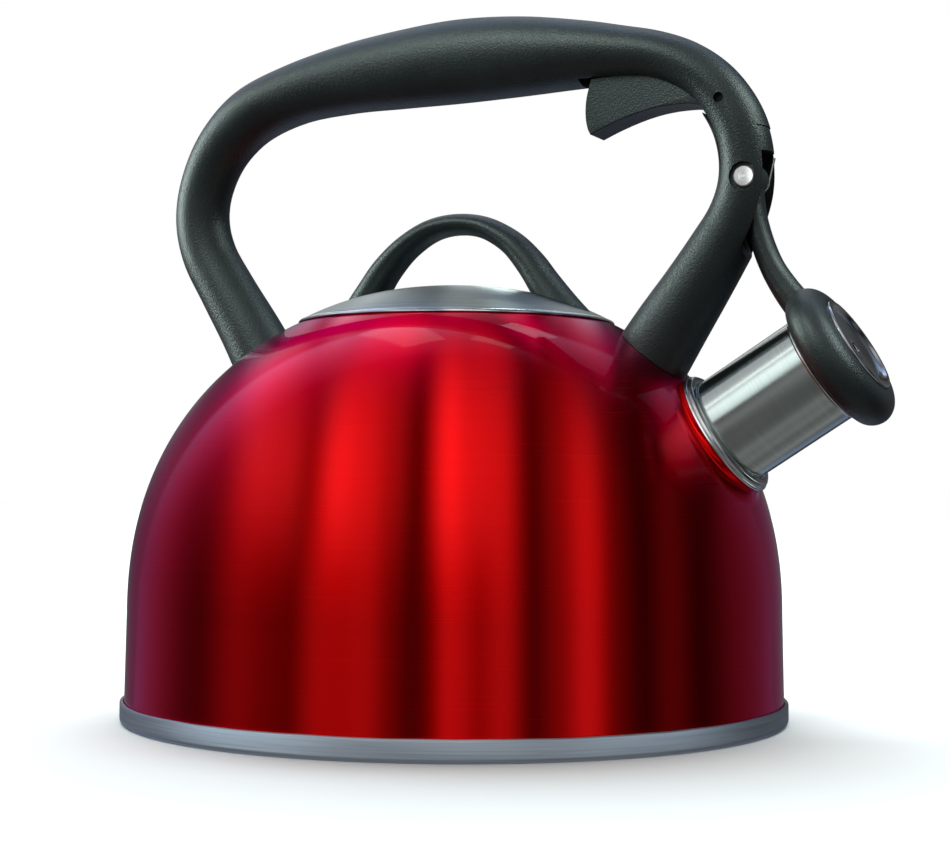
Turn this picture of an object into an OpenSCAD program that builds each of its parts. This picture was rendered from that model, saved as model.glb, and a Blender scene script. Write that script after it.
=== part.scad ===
// Stovetop whistling kettle with a fixed loop handle.
// The base stands on z = 0, the spout points along +X and the mirror plane is y = 0.

/* [Body] */
// Radius of the straight lower wall
body_r = 102.1; // [95:0.1:108]
// Height where the wall starts to curve inwards
shoulder_z = 33.5; // [30:0.5:38]
// Height of the dome above the shoulder
dome_h = 100; // [98:0.5:102]
// Squareness of the dome curve, 2 is an ellipse
dome_n = 2.18; // [2.1:0.01:2.3]
// Sheet thickness of the shell
wall_t = 1; // [0.6:0.1:1.2]
// Radius of the filling opening
mouth_r = 46.2; // [46:0.1:47]
// Height of the turned-down rim round the opening
mouth_rim_h = 8; // [6:0.5:9]

/* [Base] */
// Radius of the base cap
base_r = 104; // [103.8:0.1:110]
// Height of the base cap's rolled edge
base_h = 6.6; // [6.4:0.1:8]
// Thickness of the aluminium heat disc
disc_t = 4.2; // [3:0.1:4.3]

/* [Spout] */
// Angle of the spout above level
spout_angle = 32.4; // [31.5:0.1:33]
// Distance of the spout's bead from the kettle's axis
spout_x = 90.9; // [90:0.1:92]
// Height of the middle of the bead
spout_z = 89.5; // [88.5:0.1:90]
// Outer radius of the spout tube
spout_r = 16.5; // [16:0.1:16.8]
// Length of the tube outside the bead
spout_len = 33.4; // [32.5:0.1:34.5]
// Outer radius of the bead
bead_r = 20; // [19.4:0.1:20.5]

/* [Handle] */
// Width of the lever channel inside the handle
channel_w = 12; // [11.8:0.1:13]
// Width of the trigger
trigger_w = 11.2; // [10:0.1:11.3]
// Radius of the pin that the trigger turns on
pin_r = 1.5; // [1.2:0.1:1.6]
// Radius of the rivet that the whistle arm turns on
rivet_r = 2; // [1.8:0.1:2.2]

/* [Lid] */
// Radius of the lid's edge
lid_r = 50; // [49:0.1:50.5]
// Rise of the lid from its edge to its top
lid_rise = 11.4; // [10.5:0.1:12]

/* [Whistle cap] */
// Largest radius of the black cap
cap_r = 22.7; // [22:0.1:23]
// Thickness of the cap along the spout
cap_t = 11.6; // [11:0.1:12]
// Radius of the bright dish in the cap's face
dish_r = 15; // [14.5:0.1:15.5]

/* [Hidden] */
$fn = 96;
run_gap = 0.05;
fit_gap = 0.1;
flare = 0.02;
dome_steps = 22;
floor_z = 0.9 + disc_t + 0.1;
floor_t = 0.8;
neck_r = bead_r - 0.5;
neck_len = 26;
bead_w = 2.6;
cap_s = spout_len + 0.3;
barrel_r = 14;
notch_floor = 3.2 - cap_r;
notch_w = 11.2;
trigger_pivot = [90.1, 187];
arm_pivot = [97.5, 163.4];
front_foot = [66, 113.4, 34.3];
rear_foot = [-69.5, 111, -31.3];
tongue_t = 5;
tongue_w = 10;
tongue_len = 22;
screw_up = 13;
lid_screw_x = 30;
lid_screw_tilt = 15;
lid_z = 124;
lid_n = 2.35;
lid_t = 0.7;

// Stations along each bent bar: x, z, half thickness in the mirror plane, half width across it
handle_path = [
    [-61, 97, 11.5, 11.5], [-69.5, 111, 11, 11], [-77, 123.5, 10.2, 10.4],
    [-86.5, 138, 9.4, 9.8], [-94, 150.5, 9.1, 9.5], [-96.9, 162.5, 8.9, 9.4],
    [-95, 174.5, 8.8, 9.5], [-88.5, 186.5, 9.2, 9.8], [-77, 196.4, 9.8, 10.4],
    [-60, 202.4, 10, 11], [-40, 205.6, 11.3, 11.5], [-20, 207, 12.6, 11.9],
    [1, 207.7, 13.3, 12], [22, 207.3, 12.5, 11.9], [42.5, 206, 10.5, 11.6],
    [56, 204.6, 8.9, 11.2], [67, 202.8, 8, 10.7], [76.5, 199.2, 7.8, 10.2],
    [84.5, 193.6, 7.8, 9.8], [90.3, 186.5, 8, 9.5], [94.2, 178.5, 8.2, 9.4],
    [96, 169.5, 8.3, 9.3], [95.6, 160.5, 8.6, 9.3], [92.5, 151.5, 8.9, 9.4],
    [86.7, 142, 9.5, 9.7], [79.4, 131, 10.3, 10.2], [72.1, 120.5, 11.2, 10.8],
    [62.5, 106, 12.2, 11.4]];
lid_handle_path = [
    [-39.5, 120, 6.6, 7.6], [-35, 127.5, 5.9, 7.4], [-30, 135.5, 5, 7], [-25, 142.4, 4.5, 6.7],
    [-18, 149, 3.9, 6.5], [-9, 154, 3.5, 6.4], [0.5, 155.5, 3.4, 6.4], [10, 154, 3.5, 6.4],
    [19, 149, 3.9, 6.5], [25.5, 142.4, 4.5, 6.7], [30.5, 135.5, 5, 7], [35.5, 127.5, 5.9, 7.4],
    [40, 120, 6.6, 7.6]];
arm_path = [
    [97.5, 160.5, 3.6, 4.6], [98.2, 155.6, 3.2, 4.7], [99.3, 150, 3.2, 4.8],
    [101.2, 143.4, 3.4, 4.8], [103.8, 137.2, 3.6, 4.9], [107.2, 131.6, 4, 5],
    [111, 126.5, 4.4, 5.2], [115.1, 121.8, 4.8, 5.4]];

// Curve of the dome: height at which the outside has radius r, for a shell grown by g
function dome_z(r, g) = shoulder_z + (dome_h + g) * pow(1 - pow(r / (body_r + g), dome_n), 1 / dome_n);

// Points of the dome from the shoulder up to radius r_end, for a shell grown by g
function dome_points(g, r_end) =
    let (end_a = acos(pow(r_end / (body_r + g), dome_n / 2)))
    [for (i = [0:dome_steps])
        let (a = end_a * i / dome_steps)
        [(body_r + g) * pow(cos(a), 2 / dome_n), shoulder_z + (dome_h + g) * pow(sin(a), 2 / dome_n)]];

function reversed(list) = [for (i = [len(list) - 1:-1:0]) list[i]];

// Height of the lid's outside at radius r
function lid_top(r) = lid_z + lid_rise * (1 - pow(r / lid_r, lid_n));

// Catmull-Rom blend between stations b and c, with a before and d after
function blend(a, b, c, d, t) =
    0.5 * (2 * b + (c - a) * t + (2 * a - 5 * b + 4 * c - d) * t * t + (3 * b - a - 3 * c + d) * t * t * t);

// A station list with each span divided into steps
function smooth(path, steps) =
    let (last = len(path) - 1)
    [for (k = [0:last * steps])
        let (i = min(floor(k / steps), last - 1), t = k / steps - i)
        blend(path[max(i - 1, 0)], path[i], path[i + 1], path[min(i + 2, last)], t)];

// One elliptical ring of points across the bar at station k
function ring(path, k, sides, grow) =
    let (p = path[k],
        ahead = path[min(k + 1, len(path) - 1)] - path[max(k - 1, 0)],
        size = norm([ahead[0], ahead[1]]),
        tx = ahead[0] / size,
        tz = ahead[1] / size)
    [for (j = [0:sides - 1])
        let (u = 360 * j / sides, across = (p[2] + grow) * cos(u))
        [p[0] + tz * across, (p[3] + grow) * sin(u), p[1] - tx * across]];

// Faces that join rings of points into a closed bar
function tube_faces(rings, sides) = concat(
    [[for (j = [0:sides - 1]) j]],
    [for (k = [0:rings - 2], j = [0:sides - 1])
        let (a = k * sides + j, b = k * sides + (j + 1) % sides)
        [a, a + sides, b + sides, b]],
    [[for (j = [sides - 1:-1:0]) (rings - 1) * sides + j]]);

module bent_bar(path, sides, steps, grow = 0) {
    fine = smooth(path, steps);
    points = [for (k = [0:len(fine) - 1]) each ring(fine, k, sides, grow)];
    polyhedron(points, tube_faces(len(fine), sides), 4);
}

// Places children with +Z along the spout, at distance s beyond the bead
module on_spout(s) {
    translate([spout_x + s * cos(spout_angle), 0, spout_z + s * sin(spout_angle)])
        rotate([0, 90 - spout_angle, 0])
            children();
}

// Places children with +Z up a handle leg, at the foot on the dome
module on_foot(foot) {
    translate([foot[0], 0, foot[1]])
        rotate([0, foot[2], 0])
            children();
}

// A cylinder along Y through a point of the mirror plane, from y0 to y1
module cross_pin(at, r, y0, y1) {
    translate([at[0], y0, at[1]])
        rotate([-90, 0, 0])
            cylinder(r = r, h = y1 - y0);
}

// A flat outline of the mirror plane, given thickness from y0 to y1
module plate(outline, y0, y1) {
    translate([0, y1, 0])
        rotate([90, 0, 0])
            linear_extrude(y1 - y0)
                polygon(outline);
}

// Solid inside the dome near the handle feet, used to shape what stands on it
module dome_core(g) {
    top = [for (r = [30:4:94]) [r, dome_z(r, g)]];
    rotate_extrude()
        polygon(concat([[0, 60], [0, dome_z(30, g)]], top, [[body_r + g - 1, 60]]));
}

module neck(r, s0, s1) {
    on_spout(s0)
        cylinder(r = r, h = s1 - s0);
}

module body_shell() {
    outside = dome_points(0, mouth_r + wall_t);
    inside = dome_points(-wall_t, mouth_r + wall_t);
    top = outside[dome_steps][1];
    foot_r = body_r + flare * shoulder_z;
    color("#a3101c") {
        difference() {
            union() {
                rotate_extrude()
                    polygon(concat(
                        [[foot_r - wall_t, floor_z + floor_t + 0.1], [foot_r, floor_z + floor_t + 0.1]],
                        outside,
                        [[mouth_r, top], [mouth_r, top - mouth_rim_h], [mouth_r + wall_t, top - mouth_rim_h]],
                        reversed(inside)));
                difference() {
                    neck(neck_r, -neck_len, -bead_w);
                    rotate_extrude()
                        polygon(concat([[0, floor_z + 10], [body_r - wall_t, floor_z + 10]],
                            dome_points(-wall_t, 20), [[0, dome_z(20, -wall_t)]]));
                }
            }
            neck(spout_r + run_gap, -neck_len - 10, 5);
        }
    }
}

module kettle_floor() {
    color("#b9bcbe")
        translate([0, 0, floor_z])
            cylinder(r = base_r - 1.3, h = floor_t);
}

module heat_disc() {
    color("#c9cccf")
        translate([0, 0, 0.9])
            cylinder(r = base_r - 1.4, h = disc_t);
}

module base_cap() {
    edge = 0.6;
    color("#a9adb1")
        rotate_extrude()
            polygon([[0, 0], [base_r - 1, 0], [base_r, 1], [base_r, base_h - edge],
                [base_r - edge, base_h], [base_r - 1.2, base_h], [base_r - 1.2, 0.8], [0, 0.8]]);
}

module spout_tube() {
    lip = 0.5;
    color("#c3c7c9")
        on_spout(-neck_len + 6)
            difference() {
                union() {
                    cylinder(r = spout_r, h = spout_len + neck_len - 6);
                    translate([0, 0, spout_len + neck_len - 6 - 0.9])
                        cylinder(r = spout_r + lip, h = 0.9);
                }
                translate([0, 0, -1])
                    cylinder(r = spout_r - 0.7, h = spout_len + neck_len);
            }
}

module spout_bead() {
    color("#d5d8da")
        on_spout(-bead_w)
            difference() {
                rotate_extrude()
                    polygon([[spout_r - 2, 0], [bead_r - 0.4, 0], [bead_r, 0.4], [bead_r, 1],
                        [bead_r - 0.7, 1.4], [bead_r - 1.2, bead_w - 0.4], [bead_r - 2.2, bead_w],
                        [spout_r - 2, bead_w]]);
                translate([0, 0, -1])
                    cylinder(r = spout_r + run_gap, h = bead_w + 2);
            }
}

// Tongue welded to the dome, standing inside a handle leg
module bracket(foot) {
    color("#b4b8ba")
        difference() {
            on_foot(foot)
                translate([-tongue_t / 2, -tongue_w / 2, -4])
                    cube([tongue_t, tongue_w, tongue_len + 4]);
            dome_core(fit_gap);
            on_foot(foot)
                translate([-tongue_t, 0, screw_up])
                    rotate([0, 90, 0])
                        cylinder(r = rivet_r + run_gap, h = 2 * tongue_t, $fn = 48);
        }
}

module rear_handle_bracket() {
    bracket(rear_foot);
}

module front_handle_bracket() {
    bracket(front_foot);
}

// One screw driven across a leg from the side that faces -X
module leg_screw(foot) {
    on_foot(foot)
        translate([-8.6, 0, screw_up])
            rotate([0, 90, 0])
                difference() {
                    union() {
                        cylinder(r = 3.8, h = 2.2, $fn = 48);
                        cylinder(r = rivet_r, h = 8.6 + tongue_t / 2, $fn = 48);
                    }
                    translate([-0.5, -2.6, -0.1])
                        cube([1, 5.2, 1.1]);
                    translate([-2.6, -0.5, -0.1])
                        cube([5.2, 1, 1.1]);
                }
}

module handle_screws() {
    color("#9a9d9f") {
        leg_screw(rear_foot);
        leg_screw(front_foot);
    }
}

// Space that a bracket and its screw take inside a leg
module leg_socket(foot) {
    on_foot(foot) {
        translate([-tongue_t / 2 - fit_gap, -tongue_w / 2 - fit_gap, -12])
            cube([tongue_t + 2 * fit_gap, tongue_w + 2 * fit_gap, tongue_len + 12 + fit_gap]);
        translate([-6.3, 0, screw_up])
            rotate([0, 90, 0])
                cylinder(r = rivet_r + 0.15, h = 6.3 + tongue_t / 2 + 1, $fn = 48);
        translate([-20, 0, screw_up])
            rotate([0, 90, 0])
                cylinder(r = 4.1, h = 13.7, $fn = 48);
    }
}

module handle() {
    channel = [[44, 170], [44, 208.4], [60, 207.6], [78, 201.6], [86, 197], [92.6, 191.6],
        [96.6, 185.4], [98.7, 178.9], [120, 178.9], [120, 139], [97, 139], [93.4, 148], [89.9, 158], [89.5, 168],
        [87.8, 178], [83.5, 184], [80, 180], [60, 170]];
    half = channel_w / 2;
    color("#26292a")
        difference() {
            bent_bar(handle_path, 24, 2);
            dome_core(fit_gap);
            neck(neck_r + fit_gap, -neck_len, 0);
            plate(channel, -half, half);
            leg_socket(rear_foot);
            leg_socket(front_foot);
            cross_pin(trigger_pivot, pin_r, -14, 7.5);
            cross_pin(arm_pivot, rivet_r, -14, 14);
            cross_pin(arm_pivot, 4.3, -14, -7.9);
            cross_pin(arm_pivot, 4.3, 7.9, 14);
        }
}

// Plug that closes the upper end of the slot in the front leg
module slot_cover() {
    outline = [[99.4, 178.7], [98.9, 172.6], [100.2, 171.4], [112, 171.4], [112, 178.7]];
    half = channel_w / 2 - 0.15;
    color("#2b2e2f")
        intersection() {
            bent_bar(handle_path, 24, 2, -0.3);
            plate(outline, -half, half);
        }
}

module trigger_pin() {
    color("#8d9092")
        cross_pin(trigger_pivot, pin_r, -7.9, 7.4);
}

module arm_rivet() {
    color("#d9dbdc") {
        cross_pin(arm_pivot, rivet_r, -8.8, 9.4);
        cross_pin(arm_pivot, 3.1, -8.95, -7.9);
    }
}

module rivet_washer() {
    color("#b9bcbe")
        difference() {
            cross_pin(arm_pivot, 3.8, 7.95, 8.75);
            cross_pin(arm_pivot, rivet_r + run_gap, 7, 10);
        }
}

// Torsion spring round the rivet, beside the arm's hub
module arm_spring() {
    wire_r = 0.45;
    coil_r = 3.5;
    turns = 2.5;
    steps = 20;
    rise = 1.15;
    y0 = 2.6;
    last = floor(turns * steps);
    // direction round the coil, from the arm's side on the left to the handle's side on the right
    coil = [for (i = [0:last])
        let (a = 180 + 360 * i / steps)
        [arm_pivot[0] + coil_r * cos(a), y0 + rise * i / steps, arm_pivot[1] + coil_r * sin(a), a]];
    start = [[arm_pivot[0] - coil_r, y0, arm_pivot[1] + 7.5, 180]];
    end = [[arm_pivot[0] + coil_r + 1.6, coil[last][1], arm_pivot[1] + 7, 0]];
    path = concat(start, coil, end);
    points = [for (p = path, j = [0:7])
        let (u = 45 * j, out = wire_r * cos(u))
        [p[0] + out * cos(p[3]), p[1] + wire_r * sin(u), p[2] + out * sin(p[3])]];
    color("#c8cbcd")
        polyhedron(points, tube_faces(len(path), 8), 4);
}

// Unit steps from the trigger's pivot towards the arm's pivot, and to its right
lever = arm_pivot - trigger_pivot;
lever_u = lever / norm(lever);
lever_e = [-lever_u[1], lever_u[0]];

// A point given along and across the line between the two pivots
function lever_point(along, across) = trigger_pivot + along * lever_u + across * lever_e;

module trigger() {
    outline = [[48.2, 196.8], [46.7, 191], [46.4, 186], [47, 182], [48, 179.8], [54.7, 182.5],
        [62.2, 184.9], [69, 186.3], [76, 186.8], [82, 186.3], [87.5, 183.4], [90.1, 191.2],
        [86, 191.4], [80, 193.2], [72, 195.8], [62, 197.2]];
    tail = [lever_point(0, -3), lever_point(0, 3.6), lever_point(9, 3.2), lever_point(18, 3),
        lever_point(18, 0.2), lever_point(6, 0.2)];
    half = trigger_w / 2;
    color("#2b2e2f")
        difference() {
            union() {
                plate(outline, -half, half);
                cross_pin(trigger_pivot, 4, -half, half);
                plate(tail, -4.8, 1.6);
            }
            cross_pin(trigger_pivot, pin_r + run_gap, -14, 14);
        }
}

module whistle_arm() {
    reach = norm(lever);
    horn = [lever_point(reach, -2.4), lever_point(reach, -0.1), lever_point(reach - 7.4, -0.1),
        lever_point(reach - 7.4, -1.8), lever_point(reach - 6.6, -2.4)];
    color("#2b2e2f")
        difference() {
            union() {
                bent_bar(arm_path, 20, 3);
                cross_pin(arm_pivot, 4.6, -5.2, 1.5);
                plate(horn, -4.5, 1.3);
            }
            cross_pin(arm_pivot, 6, 1.6, 8);
            cross_pin(arm_pivot, rivet_r + run_gap, -14, 14);
            on_spout(cap_s)
                translate([notch_floor - fit_gap, -10, -10])
                    cube([30, 20, 40]);
        }
}

module cap_shell() {
    color("#242728")
        on_spout(cap_s)
            difference() {
                rotate_extrude()
                    polygon([[10, 0], [cap_r - 4.5, 0], [cap_r - 2.2, 0.9], [cap_r - 0.6, 2.9],
                        [cap_r, 5.2], [cap_r - 0.4, 7.4], [cap_r - 1.7, 9.3], [cap_r - 3.8, cap_t - 0.5],
                        [cap_r - 5.8, cap_t], [10, cap_t]]);
                translate([0, 0, -1])
                    cylinder(r = barrel_r + run_gap, h = cap_t + 2);
                translate([0, 0, cap_t - 1.8])
                    cylinder(r = dish_r + run_gap, h = 3);
                // the arm's end is let into the cap's rim
                translate([notch_floor - 8, -notch_w / 2, -4])
                    cube([8, notch_w, 12]);
            }
}

module whistle_barrel() {
    color("#c3c7c9")
        on_spout(cap_s - 5.5)
            difference() {
                cylinder(r = barrel_r, h = 5.5 + cap_t - 1.9);
                translate([0, 0, -1])
                    cylinder(r = barrel_r - 0.8, h = 30);
            }
}

// Perforated disc set into the barrel
module whistle_back_plate() {
    color("#c3c7c9")
        on_spout(cap_s + 2)
            difference() {
                cylinder(r = barrel_r - 0.8 - run_gap, h = 0.8);
                translate([0, 0, -1])
                    cylinder(r = 1.6, h = 3, $fn = 32);
            }
}

module whistle_dish() {
    color("#dfe1e2")
        on_spout(cap_s + cap_t - 1.8)
            difference() {
                rotate_extrude()
                    polygon([[0, 0], [dish_r, 0], [dish_r, 2.2], [dish_r - 0.6, 2.7], [dish_r - 1.6, 2.7],
                        [dish_r - 3.4, 1.4], [0, 0.9]]);
                translate([0, 0, -1])
                    cylinder(r = 1.6, h = 4, $fn = 32);
            }
}

module lid_cover() {
    outside = [for (r = [lid_r - 0.8, 47, 42, 36, 29, 21, 12, 0]) [r, lid_top(r)]];
    inside = [for (p = reversed(outside)) [p[0], p[1] - lid_t]];
    color("#c3c7c9")
        difference() {
            rotate_extrude()
                polygon(concat([[lid_r, lid_z - 0.2], [lid_r, lid_z + 0.4]], outside, inside,
                    [[lid_r - 0.9, lid_z - 0.3]]));
            for (side = [-1, 1])
                lid_screw_place(side)
                    translate([0, 0, -5])
                        cylinder(r = 1.75, h = 10, $fn = 48);
        }
}

module lid_skirt() {
    color("#c3c7c9")
        difference() {
            translate([0, 0, 117])
                cylinder(r = mouth_r - 0.6, h = 8.4);
            translate([0, 0, 116])
                cylinder(r = mouth_r - 1.5, h = 12);
        }
}

// Places children with +Z square to the lid's sheet, at its outside, over one lid screw
module lid_screw_place(side) {
    translate([side * lid_screw_x, 0, lid_top(lid_screw_x)])
        rotate([0, side * lid_screw_tilt, 0])
            children();
}

module lid_handle() {
    steps = 16;
    color("#26292a")
        difference() {
            bent_bar(lid_handle_path, 20, 2);
            rotate_extrude()
                polygon(concat([[0, 110], [0, lid_top(0) + fit_gap]],
                    [for (i = [1:steps]) let (r = lid_r * i / steps) [r, lid_top(r) + fit_gap]],
                    [[lid_r, 110]]));
            for (side = [-1, 1])
                lid_screw_place(side)
                    translate([0, 0, -5])
                        cylinder(r = 1.65, h = 11.2, $fn = 48);
        }
}

module lid_screws() {
    color("#b4b8ba")
        for (side = [-1, 1])
            lid_screw_place(side)
                difference() {
                    union() {
                        translate([0, 0, -3.6])
                            cylinder(r = 3, h = 1.9, $fn = 48);
                        translate([0, 0, -3.6])
                            cylinder(r = 1.6, h = 9.6, $fn = 48);
                    }
                    translate([-2, -0.4, -3.7])
                        cube([4, 0.8, 1]);
                    translate([-0.4, -2, -3.7])
                        cube([0.8, 4, 1]);
                }
}

module lid_washers() {
    color("#b4b8ba")
        for (side = [-1, 1])
            lid_screw_place(side)
                difference() {
                    translate([0, 0, -1.65])
                        cylinder(r = 3.8, h = 0.8, $fn = 48);
                    translate([0, 0, -5])
                        cylinder(r = 1.7, h = 8, $fn = 48);
                }
}

body_shell();
kettle_floor();
heat_disc();
base_cap();
spout_tube();
spout_bead();
rear_handle_bracket();
front_handle_bracket();
handle_screws();
handle();
slot_cover();
trigger_pin();
arm_rivet();
rivet_washer();
arm_spring();
trigger();
whistle_arm();
cap_shell();
whistle_barrel();
whistle_back_plate();
whistle_dish();
lid_cover();
lid_skirt();
lid_handle();
lid_screws();
lid_washers();
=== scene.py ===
import math
import bpy
import bmesh
import numpy as np
from mathutils import Matrix


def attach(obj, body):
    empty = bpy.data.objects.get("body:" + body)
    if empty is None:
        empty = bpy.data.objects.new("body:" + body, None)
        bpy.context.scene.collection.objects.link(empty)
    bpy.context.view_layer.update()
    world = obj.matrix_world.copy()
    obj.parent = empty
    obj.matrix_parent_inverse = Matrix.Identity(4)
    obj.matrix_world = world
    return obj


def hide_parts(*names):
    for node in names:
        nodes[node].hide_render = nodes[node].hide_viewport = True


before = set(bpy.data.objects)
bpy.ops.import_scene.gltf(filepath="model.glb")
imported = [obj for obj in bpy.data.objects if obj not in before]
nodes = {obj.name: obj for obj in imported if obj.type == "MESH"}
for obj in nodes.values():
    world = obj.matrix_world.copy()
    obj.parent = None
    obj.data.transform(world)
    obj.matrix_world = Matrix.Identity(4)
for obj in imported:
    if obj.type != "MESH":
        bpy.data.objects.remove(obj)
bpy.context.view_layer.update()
mm = 0.001
print("stage: frame loaded")


# camera: place in metres, angles in degrees, lens and sensor in mm
cameraSet = {"place": (0.2700, -0.5383, 0.0734), "turn": 26.06, "tilt": 1.89, "roll": -0.29,
             "lens": 72.0, "sensor": 36.0}
camera = bpy.data.objects.new("camera", bpy.data.cameras.new("camera"))
camera.location = cameraSet["place"]
camera.rotation_euler = (math.radians(90 + cameraSet["tilt"]), math.radians(cameraSet["roll"]),
                         math.radians(cameraSet["turn"]))
camera.data.lens = cameraSet["lens"]
camera.data.sensor_width = cameraSet["sensor"]
camera.data.clip_start = 0.01
bpy.context.scene.collection.objects.link(camera)
bpy.context.scene.camera = camera
bpy.context.scene.view_settings.view_transform = "Standard"


def linear(hexColour):
    # sRGB hex to linear RGBA
    c = np.array([int(hexColour[i:i + 2], 16) for i in (1, 3, 5)]) / 255
    lin = np.where(c <= 0.04045, c / 12.92, ((c + 0.055) / 1.055) ** 2.4)
    return (*lin.tolist(), 1.0)


def addNode(tree, kind, settings=None, links=None):
    # one node, its sockets and properties set by name, its inputs linked by name or number
    made = tree.nodes.new(kind)
    for name, value in (settings or {}).items():
        if isinstance(name, int) or name in made.inputs:
            made.inputs[name].default_value = value
        else:
            setattr(made, name, value)
    for name, source in (links or {}).items():
        tree.links.new(source, made.inputs[name])
    return made


def readAll(items, attribute, width, kind=float):
    # an attribute of every vertex, edge, loop or face, one row for each
    values = np.zeros(len(items) * width, kind)
    items.foreach_get(attribute, values)
    return values.reshape(-1, width)


def smoothPath(stations, steps):
    # Catmull-Rom curve through the stations, each span cut into steps
    p = np.array(stations, float)
    k = np.arange((len(p) - 1) * steps + 1) / steps
    i = np.minimum(k.astype(int), len(p) - 2)
    t = (k - i)[:, None]
    a, b, c, d = (p[np.clip(i + o, 0, len(p) - 1)] for o in (-1, 0, 1, 2))
    return 0.5 * (2 * b + (c - a) * t + (2 * a - 5 * b + 4 * c - d) * t ** 2
                  + (3 * b - a - 3 * c + d) * t ** 3)


def rounded(corners, steps=5):
    # corners are (x, y, radius); each one becomes an arc that touches both of its sides
    c = np.array(corners, float)
    back, ahead = np.roll(c, 1, 0)[:, :2] - c[:, :2], np.roll(c, -1, 0)[:, :2] - c[:, :2]
    lb, la = np.linalg.norm(back, axis=1), np.linalg.norm(ahead, axis=1)
    ub, ua = back / np.maximum(lb, 1e-9)[:, None], ahead / np.maximum(la, 1e-9)[:, None]
    half = np.arccos(np.clip((ub * ua).sum(1), -1, 1)) / 2
    cut = np.minimum(c[:, 2] / np.maximum(np.tan(half), 1e-6), 0.48 * np.minimum(lb, la))
    out = []
    for i in range(len(c)):
        if c[i, 2] <= 0:
            out.append(c[i:i + 1, :2])
            continue
        t = np.linspace(0, 1, steps + 1)[:, None]
        start, end = c[i, :2] + ub[i] * cut[i], c[i, :2] + ua[i] * cut[i]
        w = math.sin(half[i])  # weight that makes the blend a circular arc
        top = (1 - t) ** 2 * start + 2 * w * t * (1 - t) * c[i, :2] + t ** 2 * end
        out.append(top / ((1 - t) ** 2 + 2 * w * t * (1 - t) + t ** 2))
    return np.concatenate(out)


def evenly(profile, count):
    # the same line with count points at equal distances along it
    p = np.array(profile, float)
    s = np.concatenate([[0], np.cumsum(np.linalg.norm(np.diff(p, axis=0), axis=1))])
    at = np.linspace(0, s[-1], count)
    return np.stack([np.interp(at, s, p[:, i]) for i in range(p.shape[1])], 1)


def gridMesh(name, points, closeRows, closeCols, across=None, along=None):
    # quads between the rows and columns of a grid of points in mm, closed where asked,
    # with a UV map: across is the U of each column edge, along the V of each row edge
    rows, cols = points.shape[:2]
    r = np.arange(rows if closeRows else rows - 1)[:, None]
    c = np.arange(cols if closeCols else cols - 1)[None, :]
    rn, cn = (r + 1) % rows, (c + 1) % cols
    quads = np.stack([r * cols + c, r * cols + cn, rn * cols + cn, rn * cols + c], -1)
    flat = points.reshape(-1, 3) * mm
    q = flat[quads.reshape(-1, 4)]
    volume = (np.einsum("ij,ij->i", q[:, 0], np.cross(q[:, 1], q[:, 2]))
              + np.einsum("ij,ij->i", q[:, 0], np.cross(q[:, 2], q[:, 3]))).sum()
    u = np.linspace(0, 1, cols + 1) if across is None else across
    v = np.arange(rows + 1) / rows if along is None else along
    corner = np.stack([np.stack(np.broadcast_arrays(u[c + i], v[r + j]), -1)
                       for i, j in ((0, 0), (1, 0), (1, 1), (0, 1))], 2)
    quads, corner = quads.reshape(-1, 4), corner.reshape(-1, 4, 2)
    if volume < 0:
        quads, corner = quads[:, ::-1], corner[:, ::-1]
    mesh = bpy.data.meshes.new(name)
    mesh.from_pydata(flat, [], quads)
    mesh.uv_layers.new(name="brush").data.foreach_set("uv", corner.astype(np.float32).ravel())
    work = bmesh.new()
    work.from_mesh(mesh)
    bmesh.ops.remove_doubles(work, verts=work.verts, dist=1e-7)
    work.to_mesh(mesh)
    work.free()
    return mesh


def profileLength(profile, closed):
    # distance along a profile at each of its points, and once more at its end
    ring = np.concatenate([profile, profile[:1]]) if closed else profile
    s = np.concatenate([[0], np.cumsum(np.linalg.norm(np.diff(ring, axis=0), axis=1))])
    return np.append(s, s[-1]) * mm


def turned(name, profile, segments, closed, place=None, axes=None):
    # profile of (radius, height) carried round an axis; U runs round it, V is the distance
    # along the profile in metres. axes holds the piece's own x, y and z as columns
    p = np.array(profile, float)
    a = 2 * math.pi * np.arange(segments) / segments
    grid = np.stack([p[:, :1] * np.cos(a), p[:, :1] * np.sin(a),
                     np.repeat(p[:, 1:2], segments, 1)], -1)
    if axes is not None:
        grid = grid @ np.array(axes).T
    if place is not None:
        grid = grid + np.array(place)
    return gridMesh(name, grid, closed, True, along=profileLength(p, closed))


def sweptBar(name, stations, steps, sides, grow=0.0):
    # an ellipse carried along a path in the mirror plane and kept square to it; each station
    # is x, z, half thickness in that plane and half width across it. Both ends are closed
    p = smoothPath(stations, steps)
    ahead = np.gradient(p[:, :2], axis=0)
    ahead /= np.linalg.norm(ahead, axis=1)[:, None]
    size = p[:, 2:4] + grow
    p = np.concatenate([p[:1], p, p[-1:]])
    ahead = np.concatenate([ahead[:1], ahead, ahead[-1:]])
    size = np.concatenate([size[:1] * 0, size, size[-1:] * 0])
    u = 2 * math.pi * np.arange(sides) / sides
    across, width = size[:, :1] * np.cos(u), size[:, 1:] * np.sin(u)
    grid = np.stack([p[:, :1] + ahead[:, 1:] * across, width,
                     p[:, 1:2] - ahead[:, :1] * across], -1)
    return gridMesh(name, grid, False, True)


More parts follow.
